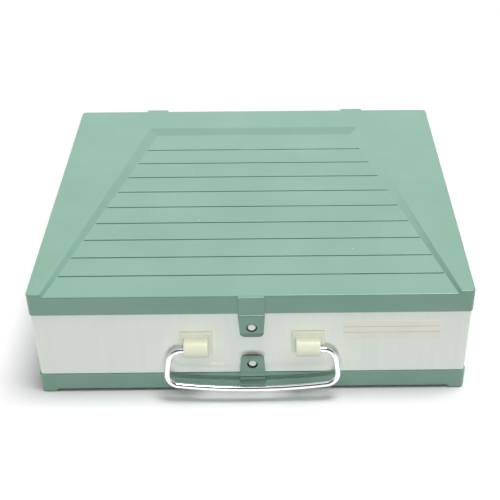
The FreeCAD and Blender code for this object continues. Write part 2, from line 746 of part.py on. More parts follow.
def makeFlap(label, reach, tipGap, tipThick, bevel, holeDrop):
    # Drawn hanging from its crease axis at the origin, with its outer face forwards.
    body = newBody(label)
    profile = addSketch(body, f"{label}_profile", "YZ_Plane")
    half = size["flapThick"] / 2
    tipInner = flapAxisDepth - wallHalfDepth - tipGap
    lean = (tipInner - half) / reach
    bend = reach - bevel
    addPolygon(profile, [
        (-half, 0), (lean * bend - half, -bend),
        (tipInner - tipThick, -reach), (tipInner, -reach), (half, 0),
    ])
    addPad(body, profile, size["tongueWidth"], symmetric=True)
    crease = addSketch(body, f"{label}_crease", "YZ_Plane")
    addCircle(crease, 0, 0, half)
    addPad(body, crease, size["tongueWidth"], symmetric=True)
    sides = addSketch(body, f"{label}_sides", "XZ_Plane")
    rootHalf = size["tongueWidth"] / 2
    tipHalf = size["flapTipWidth"] / 2
    past = rootHalf + size["cutOverrun"]
    for side in (-1, 1):
        addPolygon(sides, [
            (side * rootHalf, 0), (side * tipHalf, -reach), (side * past, -reach), (side * past, 0),
        ])
    addPocket(body, sides, 2 * reach, symmetric=True)

    def atTipCorner(point):
        return near(point.z, -reach) and near(abs(point.x), tipHalf)

    addFillet(body, f"{label}_tip_corners", atTipCorner, size["flapCorner"], alongY)
    hole = addSketch(body, f"{label}_hole", "XZ_Plane")
    addCircle(hole, 0, -holeDrop, size["flapHoleRadius"])
    addPocket(body, hole, 2 * reach, symmetric=True)
    body.setExpression("Placement.Base.y", (-flapAxisDepth).formula)
    return body


def makeUpperFlap():
    body = makeFlap(
        "upper_latch_flap", size["upperFlapReach"], size["upperFlapTipGap"],
        size["upperTipThick"], size["upperTipBevel"], size["upperHoleDrop"],
    )
    body.setExpression("Placement.Base.z", upperFlapHeight.formula)


def makeLowerFlap():
    body = makeFlap(
        "lower_latch_flap", size["lowerFlapReach"], size["lowerFlapTipGap"],
        size["lowerTipThick"], size["lowerTipBevel"], size["lowerHoleDrop"],
    )
    body.Placement = FreeCAD.Placement(body.Placement.Base, FreeCAD.Rotation(alongY, 180))
    body.setExpression("Placement.Base.y", (-flapAxisDepth).formula)
    body.setExpression("Placement.Base.z", lowerFlapHeight.formula)


def makeStud(label, height):
    # Turned about its own axis, with the wall's outer face at height 0.
    body = newBody(label)
    sketch = addSketch(body, f"{label}_profile", "XZ_Plane")
    shank = size["studShankRadius"]
    head = size["studRadius"]
    bevel = size["studEdge"]
    face = size["studReach"]
    addPolygon(sketch, [
        (0, -frameWall), (shank, -frameWall), (shank, 0), (head, 0),
        (head, face - bevel), (head - bevel, face), (0, face),
    ])
    turned = body.newObject("PartDesign::Revolution", f"{label}_turned")
    turned.Profile = sketch
    turned.ReferenceAxis = (sketch, ["V_Axis"])
    turned.Angle = 360
    body.Placement = FreeCAD.Placement(FreeCAD.Vector(0, 0, 0), FreeCAD.Rotation(alongX, 90))
    body.setExpression("Placement.Base.y", (-wallHalfDepth).formula)
    body.setExpression("Placement.Base.z", height.formula)
    doc.recompute()


def makeClip(label, side):
    # Drawn about X 0; the wire enters from the side away from the case's middle.
    body = newBody(label)
    flange = addSketch(body, f"{label}_flange", "XZ_Plane", wallHalfDepth)
    half = size["clipFlangeWidth"] / 2
    low = size["clipFlangeBottom"]
    high = low + size["clipFlangeHeight"]
    addRectangle(flange, -half, half, low, high)
    addPad(body, flange, size["clipFlangeThick"])

    def atCorner(point):
        return near(abs(point.x), half) and (near(point.z, low) or near(point.z, high))

    addFillet(body, f"{label}_flange_corners", atCorner, size["clipFlangeCorner"], alongY)
    flangeFace = -wallHalfDepth - size["clipFlangeThick"]

    def onFlangeFace(point):
        return near(point.y, flangeFace)

    addFillet(body, f"{label}_flange_edge", onFlangeFace, size["clipFlangeEdge"])
    barrel = addSketch(body, f"{label}_barrel", "YZ_Plane")
    centre = -wallHalfDepth - size["barrelReach"]
    addRoundEnd(barrel, -wallHalfDepth, centre, size["barrelHeight"], size["barrelRadius"])
    addPad(body, barrel, size["barrelWidth"], symmetric=True)

    def onBarrelEnd(point):
        onOutline = near(abs(point.z - size["barrelHeight"].value), size["barrelRadius"])
        onNose = point.y < centre.value + nearly
        outside = point.y < flangeFace.value + nearly
        return near(abs(point.x), size["barrelWidth"] / 2) and outside and (onOutline or onNose)

    addFillet(body, f"{label}_barrel_ends", onBarrelEnd, size["barrelEdge"])
    shank = addSketch(body, f"{label}_shank", "XZ_Plane", wallHalfDepth)
    shankHalf = size["shankWidth"] / 2
    shankLow = size["barrelHeight"] - size["shankHeight"] / 2
    shankHigh = size["barrelHeight"] + size["shankHeight"] / 2
    addRectangle(shank, -shankHalf, shankHalf, shankLow, shankHigh)
    addPad(body, shank, frameWall + size["retainerThick"] + size["shankEnd"], backwards=True)
    bore = addSketch(body, f"{label}_bore", "YZ_Plane", side * size["barrelWidth"] / 2)
    pivotDepth = -wallHalfDepth - size["handleReach"]
    addCircle(bore, pivotDepth, size["handleAxisHeight"], size["wireRadius"] + size["wireClearance"])
    addPocket(body, bore, size["wireDepth"] + size["wireEndGap"], backwards=side < 0)
    body.setExpression("Placement.Base.x", (side * size["clipSpacing"] / 2).formula)


def makeRetainer(label, side):
    body = newBody(label)
    sketch = addSketch(body, f"{label}_plate", "XZ_Plane", roomHalfDepth)
    middle = size["barrelHeight"]
    half = size["retainerWidth"] / 2
    halfHeight = size["retainerHeight"] / 2
    addRectangle(sketch, -half, half, middle - halfHeight, middle + halfHeight)
    holeHalf = size["shankWidth"] / 2 + size["shankClearance"]
    holeHalfHeight = size["shankHeight"] / 2 + size["shankClearance"]
    addRectangle(sketch, -holeHalf, holeHalf, middle - holeHalfHeight, middle + holeHalfHeight)
    addPad(body, sketch, size["retainerThick"], backwards=True)
    body.setExpression("Placement.Base.x", (side * size["clipSpacing"] / 2).formula)


def handleCorners():
    # Where straight runs turn into bends: worked out for the right half of the handle,
    # which hangs straight down from a pivot at the origin.
    topHalf = size["handleTopWidth"].value / 2
    bottomHalf = size["handleBottomWidth"].value / 2
    grip = -size["gripDrop"].value
    topBend = size["handleTopBend"].value
    gripBend = size["handleGripBend"].value
    bow = size["gripRadius"].value
    side = FreeCAD.Vector(bottomHalf - topHalf, grip, 0).normalize()
    inwards = FreeCAD.Vector(side.y, -side.x, 0)
    top = FreeCAD.Vector(topHalf, 0, 0)
    # The first bend touches the pivot's line and the side.
    slant = side.x / -side.y
    topCentre = FreeCAD.Vector(0, -topBend, 0)
    topCentre.x = topHalf + slant * topBend - topBend * math.sqrt(1 + slant * slant)
    bendStart = FreeCAD.Vector(topCentre.x, 0, 0)
    bendEnd = topCentre - inwards * topBend
    # The second bend touches the side and the grip's bow.
    gripCentre = FreeCAD.Vector(0, grip + bow, 0)
    base = top + inwards * gripBend - gripCentre
    along = base.dot(side)
    reach = (bow - gripBend) ** 2
    distance = -along + math.sqrt(along * along - base.dot(base) + reach)
    lowCentre = gripCentre + base + side * distance
    sideEnd = lowCentre - inwards * gripBend
    gripStart = lowCentre + (lowCentre - gripCentre).normalize() * gripBend
    return bendStart, topCentre, bendEnd, sideEnd, lowCentre, gripStart, gripCentre


def arcThrough(start, centre, end):
    # The shorter arc from start to end about centre.
    halfway = ((start - centre).normalize() + (end - centre).normalize()).normalize()
    return Part.Arc(start, centre + halfway * (start - centre).Length, end)


def mirrored(point):
    return FreeCAD.Vector(-point.x, point.y, 0)


def addHandleSpine(body):
    spine = addSketch(body, "handle_spine", "XZ_Plane")
    insideEnd = (size["clipSpacing"] + size["barrelWidth"]) / 2 - size["wireDepth"]
    tip = vector(insideEnd, 0)
    bendStart, topCentre, bendEnd, sideEnd, lowCentre, gripStart, gripCentre = handleCorners()
    bottom = vector(0, -size["gripDrop"])
    # From the left end through the grip to the right end.
    runs = [
        Part.LineSegment(mirrored(tip), mirrored(bendStart)),
        arcThrough(mirrored(bendStart), mirrored(topCentre), mirrored(bendEnd)),
        Part.LineSegment(mirrored(bendEnd), mirrored(sideEnd)),
        arcThrough(mirrored(sideEnd), mirrored(lowCentre), mirrored(gripStart)),
        Part.Arc(mirrored(gripStart), bottom, gripStart),
        arcThrough(gripStart, lowCentre, sideEnd),
        Part.LineSegment(sideEnd, bendEnd),
        arcThrough(bendEnd, topCentre, bendStart),
        Part.LineSegment(bendStart, tip),
    ]
    spine.addGeometry(runs)
    pairs = [rounded(number, size["handleTopBend"]) for number in (1, 7)]
    pairs += [rounded(number, size["handleGripBend"]) for number in (3, 5)]
    pairs += [rounded(4, size["gripRadius"])]
    pairs += placedPoint(0, 1, -insideEnd, 0)
    pairs += placedPoint(8, 2, insideEnd, 0)
    pairs += placedPoint(4, 3, 0, size["gripRadius"] - size["gripDrop"])
    constrain(spine, pairs)
    return spine, insideEnd


def makeHandle():
    body = newBody("handle_wire")
    spine, insideEnd = addHandleSpine(body)
    section = addSketch(body, "handle_section", "YZ_Plane", -insideEnd)
    addCircle(section, 0, 0, size["wireRadius"])
    pipe = body.newObject("PartDesign::AdditivePipe", "handle_bent_wire")
    pipe.Profile = section
    pipe.Spine = spine
    doc.recompute()
    ideal = math.pi * size["wireRadius"].value ** 2 * spine.Shape.Length
    if abs(pipe.Shape.Volume / ideal - 1) > nearly:
        raise RuntimeError("the bent wire's volume doesn't match its section and length")
    lean = FreeCAD.Rotation(alongX, -size["handleLean"].value)
    body.Placement = FreeCAD.Placement(FreeCAD.Vector(0, 0, 0), lean)
    body.setExpression("Placement.Base.y", (-wallHalfDepth - size["handleReach"]).formula)
    body.setExpression("Placement.Base.z", size["handleAxisHeight"].formula)


def makePin(label, side, height):
    pin = doc.addObject("Part::Cylinder", label)
    pin.Label = label
    length = size["lugWidth"] + 2 * (size["earSideGap"] + size["earWidth"])
    start = side * size["lugSpacing"] / 2 - length / 2
    pin.setExpression("Radius", size["pinRadius"].formula)
    pin.setExpression("Height", length.formula)
    pin.Placement = FreeCAD.Placement(FreeCAD.Vector(0, 0, 0), FreeCAD.Rotation(alongY, 90))
    pin.setExpression("Placement.Base.x", start.formula)
    pin.setExpression("Placement.Base.y", hingeDepth.formula)
    pin.setExpression("Placement.Base.z", height.formula)


def makeLabel():
    label = doc.addObject("Part::Box", "paper_label")
    label.Label = "paper_label"
    label.setExpression("Length", size["labelWidth"].formula)
    label.setExpression("Width", size["labelThick"].formula)
    label.setExpression("Height", size["labelHeight"].formula)
    turn = FreeCAD.Rotation(alongY, -size["labelTilt"].value)
    label.Placement = FreeCAD.Placement(FreeCAD.Vector(0, 0, 0), turn)
    left = wallHalfWidth - size["labelEndGap"] - size["labelWidth"]
    label.setExpression("Placement.Base.x", left.formula)
    label.setExpression("Placement.Base.y", (-wallHalfDepth - size["labelThick"]).formula)
    label.setExpression("Placement.Base.z", size["labelBottom"].formula)


def makeAll():
    makeBottomCover()
    makeTopCover()
    makeFrame()
    makeRackFloor()
    makeSideCombs()
    for number in range(1, columns):
        makeDivider(number)
    makeUpperFlap()
    makeLowerFlap()
    makeStud("upper_latch_stud", upperStudHeight)
    makeStud("lower_latch_stud", lowerStudHeight)
    for name, side in (("left", -1), ("right", 1)):
        makeClip(f"handle_clip_{name}", side)
        makeRetainer(f"clip_retainer_{name}", side)
        makePin(f"lid_hinge_pin_{name}", side, lidHingeHeight)
        makePin(f"base_hinge_pin_{name}", side, baseHingeHeight)
    makeHandle()
    makeLabel()


def checkedShapes():
    # Every object is sound, and each sub-part is one valid solid.
    doc.recompute()
    for item in doc.Objects:
        if "Invalid" in item.State or "Error" in item.State:
            raise RuntimeError(f"{item.Label} failed: {item.State}")
    shapes = {}
    for item in doc.Objects:
        if item.TypeId in ("PartDesign::Body", "Part::Cylinder", "Part::Box"):
            shape = item.Shape
            if shape.isNull() or not shape.isValid():
                raise RuntimeError(f"{item.Label} has no valid shape")
            if len(shape.Solids) != 1:
                raise RuntimeError(f"{item.Label} has {len(shape.Solids)} solids")
            shapes[item.Label] = shape
    return shapes


makeAll()
subParts = checkedShapes()
os.makedirs("parts", exist_ok=True)
for node, shape in subParts.items():
    shape.exportStep(f"parts/{node}.step")
    box = shape.BoundBox
    corners = (box.XMin, box.XMax, box.YMin, box.YMax, box.ZMin, box.ZMax)
    print(node, round(shape.Volume, 1), [round(corner, 2) for corner in corners])
print(len(subParts), "sub-parts,", slotCount, "slots in each column")
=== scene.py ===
import math

import bpy
from mathutils import Matrix, Vector


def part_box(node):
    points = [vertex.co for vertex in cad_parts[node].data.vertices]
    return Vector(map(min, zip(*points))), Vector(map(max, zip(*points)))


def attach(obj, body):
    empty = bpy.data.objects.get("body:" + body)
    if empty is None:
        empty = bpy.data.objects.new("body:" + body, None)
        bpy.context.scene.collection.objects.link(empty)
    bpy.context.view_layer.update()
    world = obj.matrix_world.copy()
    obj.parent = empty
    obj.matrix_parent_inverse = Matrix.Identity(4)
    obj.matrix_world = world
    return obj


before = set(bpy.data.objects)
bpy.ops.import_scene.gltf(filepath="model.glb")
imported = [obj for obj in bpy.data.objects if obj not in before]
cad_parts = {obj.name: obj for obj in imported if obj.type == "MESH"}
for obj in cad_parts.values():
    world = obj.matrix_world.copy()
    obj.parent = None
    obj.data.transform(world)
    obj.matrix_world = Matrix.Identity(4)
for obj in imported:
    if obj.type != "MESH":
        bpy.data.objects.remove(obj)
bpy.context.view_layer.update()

mm = 0.001  # the scene is in metres, sizes below are in millimetres
edgeSamples = 6  # rays that soften an edge in shading


def linearColour(hexText):
    # sRGB hex to the linear values that shaders take
    values = []
    for place in (0, 2, 4):
        part = int(hexText[place:place + 2], 16) / 255
        values.append(part / 12.92 if part <= 0.04045 else ((part + 0.055) / 1.055) ** 2.4)
    return (*values, 1.0)


def addNode(tree, kind, settings=None, links=None):
    # One node with its settings, given by property or socket, and its links. A colour mix has its
    # factor at 0, its colours at 6 and 7 and its output at 2, a value mix 0, 2, 3 and 0.
    node = tree.nodes.new(kind)
    for name, value in (settings or {}).items():
        if hasattr(node, str(name)) and name not in node.inputs:
            setattr(node, name, value)
        else:
            node.inputs[name].default_value = value
    for name, source in (links or {}).items():
        tree.links.new(source, node.inputs[name])
    return node


def newMaterial(name):
    material = bpy.data.materials.new(name)
    material.use_nodes = True
    material.node_tree.nodes.clear()
    return material, material.node_tree


def dress(nodeName, material):
    # gives a CAD node a finish in place of the plain one it came with
    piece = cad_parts[nodeName]
    for slot in piece.material_slots:
        slot.material = material
    if not piece.material_slots:
        piece.data.materials.append(material)


def deselectAll():
    if bpy.context.object and bpy.context.object.mode != "OBJECT":
        bpy.ops.object.mode_set(mode="OBJECT")
    bpy.ops.object.select_all(action="DESELECT")


# Green covers and latch flaps

greenPlastic = {
    "light": "7DA592",      # main colour of the covers
    "deep": "78A08D",       # slightly darker flow of the moulding
    "flowSize": 60,         # mm, width of the colour's slow change
    "flowLevels": (0.35, 0.65),  # noise levels between which deep turns into light
    "grainSize": 0.8,       # mm, mould grain, drawn a little coarse so that it shows
    "grainStrength": 0.05,
    "grainHeight": 0.1,     # mm
    "edgeSoftness": 0.2,    # mm, rounding that every moulded edge has
    "roughness": 0.27,
    "wornRoughness": 0.42,
    "ior": 1.55,
    # pale wear, whose colour also serves as painted light on the slopes of one side
    "paleWearAndLight": "B4CABF",
    "rubWidth": 0.7,        # mm across a rub line, drawn coarser than real so that it shows
    "rubLength": 60,        # mm along it
    "rubLevels": (0.5, 0.85),  # noise levels between which rub lines come up
    "rubShare": 0.03,
    "chipSpacing": 26,      # mm, one chip in each cell of this size
    "chipSize": 0.5,        # mm
    "chipShare": 0.7,
    "scuffPlace": (-2, 61.5),  # mm, a worn stretch of the rearmost groove on the lid
    "scuffSize": (13, 0.9),  # mm, half its length and width
    "scuffCore": 0.3,       # share of that size at full strength
    "scuffDepth": 3.1,      # mm below the lid's top, so that it stays off the inside
    "scuffShare": 0.75,
    # painted shade and painted light, by the way a face looks
    "shade": "54786A",      # painted shade for slopes, edges and holes
    "shadeSide": (0.9, -0.4, 0),  # right and a little forwards
    "slopeLean": (0.06, 0.14),  # lean that side's slopes start and end to show at
    "slopeFlat": (0.85, 0.9),  # upward share that slopes have at least
    "slopeShade": 0.17,     # painted shade on the slopes of that side
    "slopeLight": 0.17,       # painted light, in the pale wear colour, on the slopes of the other side
    "edgeTurn": (0.75, 0.5),  # upward share at which a rounded edge turns to painted shade
    "edgeStart": (0.08, 0.2),  # and where the upright face beside it starts
    "edgeShade": 0.7,
    "underTurn": (-0.1, -0.3),  # the same for painted shade on edges that look down
    "underFlat": (0.95, 0.85),
    "underShade": 0.85,
    # painted shade on the walls of the latches' holes
    "holeShade": "1C2A24",
    "holeReach": 0.9,       # mm from the stud's rim to just inside the hole's wall
    "holeFade": 0.1,        # mm
    "holeShare": 0.85,
}


def makeGreenWear(tree, place):
    # share of pale wear: rub lines, chips and the worn stretch of a groove
    g = greenPlastic
    fine = 1 / (g["rubWidth"] * mm)
    stretched = addNode(tree, "ShaderNodeMapping", {"Scale": (1 / (g["rubLength"] * mm), fine, fine)},
                        {"Vector": place})
    rub = addNode(tree, "ShaderNodeTexNoise", {"Scale": 1.0, "Detail": 3.0, "Roughness": 0.6},
                  {"Vector": stretched.outputs[0]})
    rubStart, rubEnd = g["rubLevels"]
    rubbed = addNode(tree, "ShaderNodeMapRange",
                     {"From Min": rubStart, "From Max": rubEnd, "To Max": g["rubShare"]},
                     {"Value": rub.outputs["Fac"]})
    cells = addNode(tree, "ShaderNodeTexVoronoi", {"Scale": 1 / (g["chipSpacing"] * mm)}, {"Vector": place})
    chipReach = g["chipSize"] / g["chipSpacing"]
    chipped = addNode(tree, "ShaderNodeMapRange",
                      {"From Min": chipReach / 2, "From Max": chipReach,
                       "To Min": g["chipShare"], "To Max": 0.0},
                      {"Value": cells.outputs["Distance"]})

    # the worn stretch is an ellipse on the lid's upper side
    sizeX, sizeY = (value * mm for value in g["scuffSize"])
    placeX, placeY = (value * mm for value in g["scuffPlace"])
    centred = addNode(tree, "ShaderNodeMapping",
                      {"Scale": (1 / sizeX, 1 / sizeY, 0), "Location": (-placeX / sizeX, -placeY / sizeY, 0)},
                      {"Vector": place})
    reach = addNode(tree, "ShaderNodeVectorMath", {"operation": "LENGTH"}, {0: centred.outputs[0]})
    stretch = addNode(tree, "ShaderNodeMapRange",
                      {"From Min": g["scuffCore"], "From Max": 1.0,
                       "To Min": g["scuffShare"], "To Max": 0.0},
                      {"Value": reach.outputs["Value"]})
    height = addNode(tree, "ShaderNodeSeparateXYZ", {}, {"Vector": place}).outputs["Z"]
    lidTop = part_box("top_cover")[1][2]
    onTop = addNode(tree, "ShaderNodeMath",
                    {"operation": "GREATER_THAN", 1: lidTop - g["scuffDepth"] * mm}, {0: height})
    scuffed = addNode(tree, "ShaderNodeMath", {"operation": "MULTIPLY"},
                      {0: stretch.outputs[0], 1: onTop.outputs[0]})

    marks = addNode(tree, "ShaderNodeMath", {"operation": "MAXIMUM"},
                    {0: rubbed.outputs[0], 1: chipped.outputs[0]})
    worn = addNode(tree, "ShaderNodeMath", {"operation": "MAXIMUM"},
                   {0: marks.outputs[0], 1: scuffed.outputs[0]})
    return worn.outputs[0]


def makeGreenShade(tree, normal):
    # shares of painted shade and of painted light that follow from the way a face looks
    g = greenPlastic
    side = addNode(tree, "ShaderNodeVectorMath", {"operation": "DOT_PRODUCT", 1: g["shadeSide"]},
                   {0: normal})
    upwards = addNode(tree, "ShaderNodeSeparateXYZ", {}, {"Vector": normal}).outputs["Z"]
    level = addNode(tree, "ShaderNodeMath", {"operation": "ABSOLUTE"}, {0: upwards})

    # the slopes round the sunk panel: painted shade on one side, painted light on the other
    flatStart, flatEnd = g["slopeFlat"]
    leanStart, leanEnd = g["slopeLean"]
    nearlyFlat = addNode(tree, "ShaderNodeMapRange", {"From Min": flatStart, "From Max": flatEnd},
                         {"Value": level.outputs[0]})
    leaning = addNode(tree, "ShaderNodeMapRange",
                      {"From Min": leanStart, "From Max": leanEnd, "To Max": g["slopeShade"]},
                      {"Value": side.outputs["Value"]})
    slope = addNode(tree, "ShaderNodeMath", {"operation": "MULTIPLY"},
                    {0: leaning.outputs[0], 1: nearlyFlat.outputs[0]})
    leaningBack = addNode(tree, "ShaderNodeMapRange",
                          {"From Min": -leanStart, "From Max": -leanEnd, "To Max": g["slopeLight"]},
                          {"Value": side.outputs["Value"]})
    litSlope = addNode(tree, "ShaderNodeMath", {"operation": "MULTIPLY"},
                          {0: leaningBack.outputs[0], 1: nearlyFlat.outputs[0]})

    # painted shade in a thin line just round every edge
    turnStart, turnEnd = g["edgeTurn"]
    faceEnd, edgeStart = g["edgeStart"]
    turned = addNode(tree, "ShaderNodeMapRange",
                     {"From Min": turnStart, "From Max": turnEnd, "To Max": g["edgeShade"]},
                     {"Value": level.outputs[0]})
    offFace = addNode(tree, "ShaderNodeMapRange", {"From Min": faceEnd, "From Max": edgeStart},
                      {"Value": level.outputs[0]})
    edge = addNode(tree, "ShaderNodeMath", {"operation": "MULTIPLY"},
                   {0: turned.outputs[0], 1: offFace.outputs[0]})

    # painted shade on edges that look down, but no flat underside
    downStart, downEnd = g["underTurn"]
    flat, notFlat = g["underFlat"]
    downwards = addNode(tree, "ShaderNodeMapRange",
                        {"From Min": downStart, "From Max": downEnd, "To Max": g["underShade"]},
                        {"Value": upwards})
    rounded = addNode(tree, "ShaderNodeMapRange", {"From Min": flat, "From Max": notFlat},
                      {"Value": level.outputs[0]})
    under = addNode(tree, "ShaderNodeMath", {"operation": "MULTIPLY"},
                    {0: downwards.outputs[0], 1: rounded.outputs[0]})

    sunk = addNode(tree, "ShaderNodeMath", {"operation": "MAXIMUM"},
                   {0: slope.outputs[0], 1: edge.outputs[0]})
    shade = addNode(tree, "ShaderNodeMath", {"operation": "MAXIMUM"},
                    {0: sunk.outputs[0], 1: under.outputs[0]})
    return shade.outputs[0], litSlope.outputs[0]


def makeGreenPlastic():
    # Injection-moulded high-impact polystyrene: an opaque colour with a satin skin, a slow flow of
    # lighter and darker colour, fine rub lines from side to side where it slid on shelves, and a
    # few small pale chips.
    # On top of that come painted shade and painted light by the way a face looks, and painted shade in the
    # latches' holes.
    g = greenPlastic
    material, tree = newMaterial("green moulded polystyrene")
    coordinates = addNode(tree, "ShaderNodeTexCoord")
    place = coordinates.outputs["Object"]
    worn = makeGreenWear(tree, place)
    shade, litSlope = makeGreenShade(tree, coordinates.outputs["Normal"])

    flow = addNode(tree, "ShaderNodeTexNoise",
                   {"Scale": 1 / (g["flowSize"] * mm), "Detail": 3.0, "Roughness": 0.55}, {"Vector": place})
    flowStart, flowEnd = g["flowLevels"]
    flowShare = addNode(tree, "ShaderNodeMapRange", {"From Min": flowStart, "From Max": flowEnd},
                        {"Value": flow.outputs["Fac"]})
    body = addNode(tree, "ShaderNodeMix",
                   {"data_type": "RGBA", 6: linearColour(g["deep"]), 7: linearColour(g["light"])},
                   {0: flowShare.outputs[0]})
    shaded = addNode(tree, "ShaderNodeMix", {"data_type": "RGBA", 7: linearColour(g["shade"])},
                     {0: shade, 6: body.outputs[2]})
    # real wear and the painted light on the slopes, both in the pale colour
    wearAndLitSlope = addNode(tree, "ShaderNodeMath", {"operation": "MAXIMUM"}, {0: worn, 1: litSlope})
    colour = addNode(tree, "ShaderNodeMix", {"data_type": "RGBA", 7: linearColour(g["paleWearAndLight"])},
                     {0: wearAndLitSlope.outputs[0], 6: shaded.outputs[2]})

    # painted shade inside the two holes, by the distance from the nearer stud's axis
    for stud in ("upper_latch_stud", "lower_latch_stud"):
        low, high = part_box(stud)
        fromAxis = addNode(tree, "ShaderNodeMapping",
                           {"Scale": (1, 0, 1),
                            "Location": (-(low[0] + high[0]) / 2, 0, -(low[2] + high[2]) / 2)},
                           {"Vector": place})
        reach = addNode(tree, "ShaderNodeVectorMath", {"operation": "LENGTH"}, {0: fromAxis.outputs[0]})
        rim = (high[0] - low[0]) / 2 + g["holeReach"] * mm
        inside = addNode(tree, "ShaderNodeMapRange",
                         {"From Min": rim, "From Max": rim - g["holeFade"] * mm, "To Max": g["holeShare"]},
                         {"Value": reach.outputs["Value"]})
        colour = addNode(tree, "ShaderNodeMix", {"data_type": "RGBA", 7: linearColour(g["holeShade"])},
                         {0: inside.outputs[0], 6: colour.outputs[2]})

    grain = addNode(tree, "ShaderNodeTexNoise", {"Scale": 1 / (g["grainSize"] * mm), "Detail": 4.0},
                    {"Vector": place})
    soft = addNode(tree, "ShaderNodeBevel", {"samples": edgeSamples, "Radius": g["edgeSoftness"] * mm})
    bump = addNode(tree, "ShaderNodeBump",
                   {"Strength": g["grainStrength"], "Distance": g["grainHeight"] * mm},
                   {"Height": grain.outputs["Fac"], "Normal": soft.outputs[0]})
    dull = addNode(tree, "ShaderNodeMapRange", {"To Min": g["roughness"], "To Max": g["wornRoughness"]},
                   {"Value": worn})
    shader = addNode(tree, "ShaderNodeBsdfPrincipled", {"IOR": g["ior"]},
                     {"Base Color": colour.outputs[2], "Roughness": dull.outputs[0],
                      "Normal": bump.outputs[0]})
    addNode(tree, "ShaderNodeOutputMaterial", {}, {"Surface": shader.outputs[0]})
    return material


# Cream frame, rack and studs

creamPlastic = {
    "light": "F6FCF1",
    "deep": "F2F8EC",
    "flowSize": 45,         # mm, width of the colour's slow change
    "streakWidth": 5,       # mm, upright streaks that the flow into the mould left
    "streakLength": 70,     # mm
    "flowLevels": (0.75, 1.25),  # flow and streaks together, from deep to light
    "waveSize": 12,         # mm, slow waviness of the polished wall
    "waveStrength": 0.06,
    "waveHeight": 0.1,      # mm
    "paintedShadow": "8C8168",     # painted shadow, brownish, on the wall above the lower latch
    "paintedShadowSize": (9.4, 4.4),  # mm, half its width and height
    "paintedShadowCore": 0.35,     # share of that size at full strength
    "paintedShadowShare": 0.75,
    "edgeSoftness": 0.3,    # mm
    "roughness": 0.13,
    "streakRoughness": 0.17,
    "ior": 1.59,
}


def makeShadowAboveLatch(tree, place):
    # share of painted shadow: a soft ellipse on the front wall at the top of the lower latch's flap
    c = creamPlastic
    low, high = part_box("lower_latch_flap")
    sizeX, sizeZ = (value * mm for value in c["paintedShadowSize"])
    centred = addNode(tree, "ShaderNodeMapping",
                      {"Scale": (1 / sizeX, 0, 1 / sizeZ),
                       "Location": (-(low[0] + high[0]) / 2 / sizeX, 0, -high[2] / sizeZ)},
                      {"Vector": place})
    reach = addNode(tree, "ShaderNodeVectorMath", {"operation": "LENGTH"}, {0: centred.outputs[0]})
    onSpot = addNode(tree, "ShaderNodeMapRange",
                     {"From Min": c["paintedShadowCore"], "From Max": 1.0,
                      "To Min": c["paintedShadowShare"], "To Max": 0.0},
                     {"Value": reach.outputs["Value"]})
    depth = addNode(tree, "ShaderNodeSeparateXYZ", {}, {"Vector": place}).outputs["Y"]
    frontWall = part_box("case_frame")[0][1] + mm  # a little behind its face
    onFront = addNode(tree, "ShaderNodeMath", {"operation": "LESS_THAN", 1: frontWall}, {0: depth})
    shadowed = addNode(tree, "ShaderNodeMath", {"operation": "MULTIPLY"},
                      {0: onSpot.outputs[0], 1: onFront.outputs[0]})
    return shadowed.outputs[0]


def makeCreamPlastic():
    # Injection-moulded polystyrene from a polished mould: a pale, slightly green cream that
    # mirrors what stands close to it, softened by very slow waves and faint upright streaks.
    c = creamPlastic
    material, tree = newMaterial("cream polished polystyrene")
    place = addNode(tree, "ShaderNodeTexCoord").outputs["Object"]
    flow = addNode(tree, "ShaderNodeTexNoise", {"Scale": 1 / (c["flowSize"] * mm), "Detail": 3.0},
                   {"Vector": place})
    fine = 1 / (c["streakWidth"] * mm)
    stretched = addNode(tree, "ShaderNodeMapping", {"Scale": (fine, fine, 1 / (c["streakLength"] * mm))},
                        {"Vector": place})
    streak = addNode(tree, "ShaderNodeTexNoise", {"Scale": 1.0, "Detail": 3.0},
                     {"Vector": stretched.outputs[0]})
    both = addNode(tree, "ShaderNodeMath", {"operation": "ADD"},
                   {0: flow.outputs["Fac"], 1: streak.outputs["Fac"]})
    flowStart, flowEnd = c["flowLevels"]
    share = addNode(tree, "ShaderNodeMapRange", {"From Min": flowStart, "From Max": flowEnd},
                    {"Value": both.outputs[0]})
    body = addNode(tree, "ShaderNodeMix",
                   {"data_type": "RGBA", 6: linearColour(c["deep"]), 7: linearColour(c["light"])},
                   {0: share.outputs[0]})
    # painted shadow above the lower latch's flap, mixed over the cream
    colour = addNode(tree, "ShaderNodeMix", {"data_type": "RGBA", 7: linearColour(c["paintedShadow"])},
                     {0: makeShadowAboveLatch(tree, place), 6: body.outputs[2]})
    wave = addNode(tree, "ShaderNodeTexNoise", {"Scale": 1 / (c["waveSize"] * mm), "Detail": 1.0},
                   {"Vector": place})
    soft = addNode(tree, "ShaderNodeBevel", {"samples": edgeSamples, "Radius": c["edgeSoftness"] * mm})
    bump = addNode(tree, "ShaderNodeBump",
                   {"Strength": c["waveStrength"], "Distance": c["waveHeight"] * mm},
                   {"Height": wave.outputs["Fac"], "Normal": soft.outputs[0]})
    dull = addNode(tree, "ShaderNodeMapRange", {"To Min": c["roughness"], "To Max": c["streakRoughness"]},
                   {"Value": streak.outputs["Fac"]})
    shader = addNode(tree, "ShaderNodeBsdfPrincipled", {"IOR": c["ior"]},
                     {"Base Color": colour.outputs[2], "Roughness": dull.outputs[0],
                      "Normal": bump.outputs[0]})
    addNode(tree, "ShaderNodeOutputMaterial", {}, {"Surface": shader.outputs[0]})
    return material


# Clips that carry the handle

ivoryPlastic = {
    "light": "F2F4E2",
    "deep": "ECEFD9",
    "flowSize": 9,          # mm
    "darkerTone": "C9C9AE",       # painted shade: darker and yellower where faces look up
    "shadeTurn": (0.05, 0.8),  # upward share of a face at which that starts and ends
    "shadeShare": 0.65,
    "glowShare": 0.4,       # light that goes in and comes out again
    "glowDepth": 3.5,       # mm that it travels inside
    "glowColours": (1.0, 1.0, 0.8),
    "edgeSoftness": 0.4,    # mm
    "roughness": 0.42,
    "ior": 1.49,
}


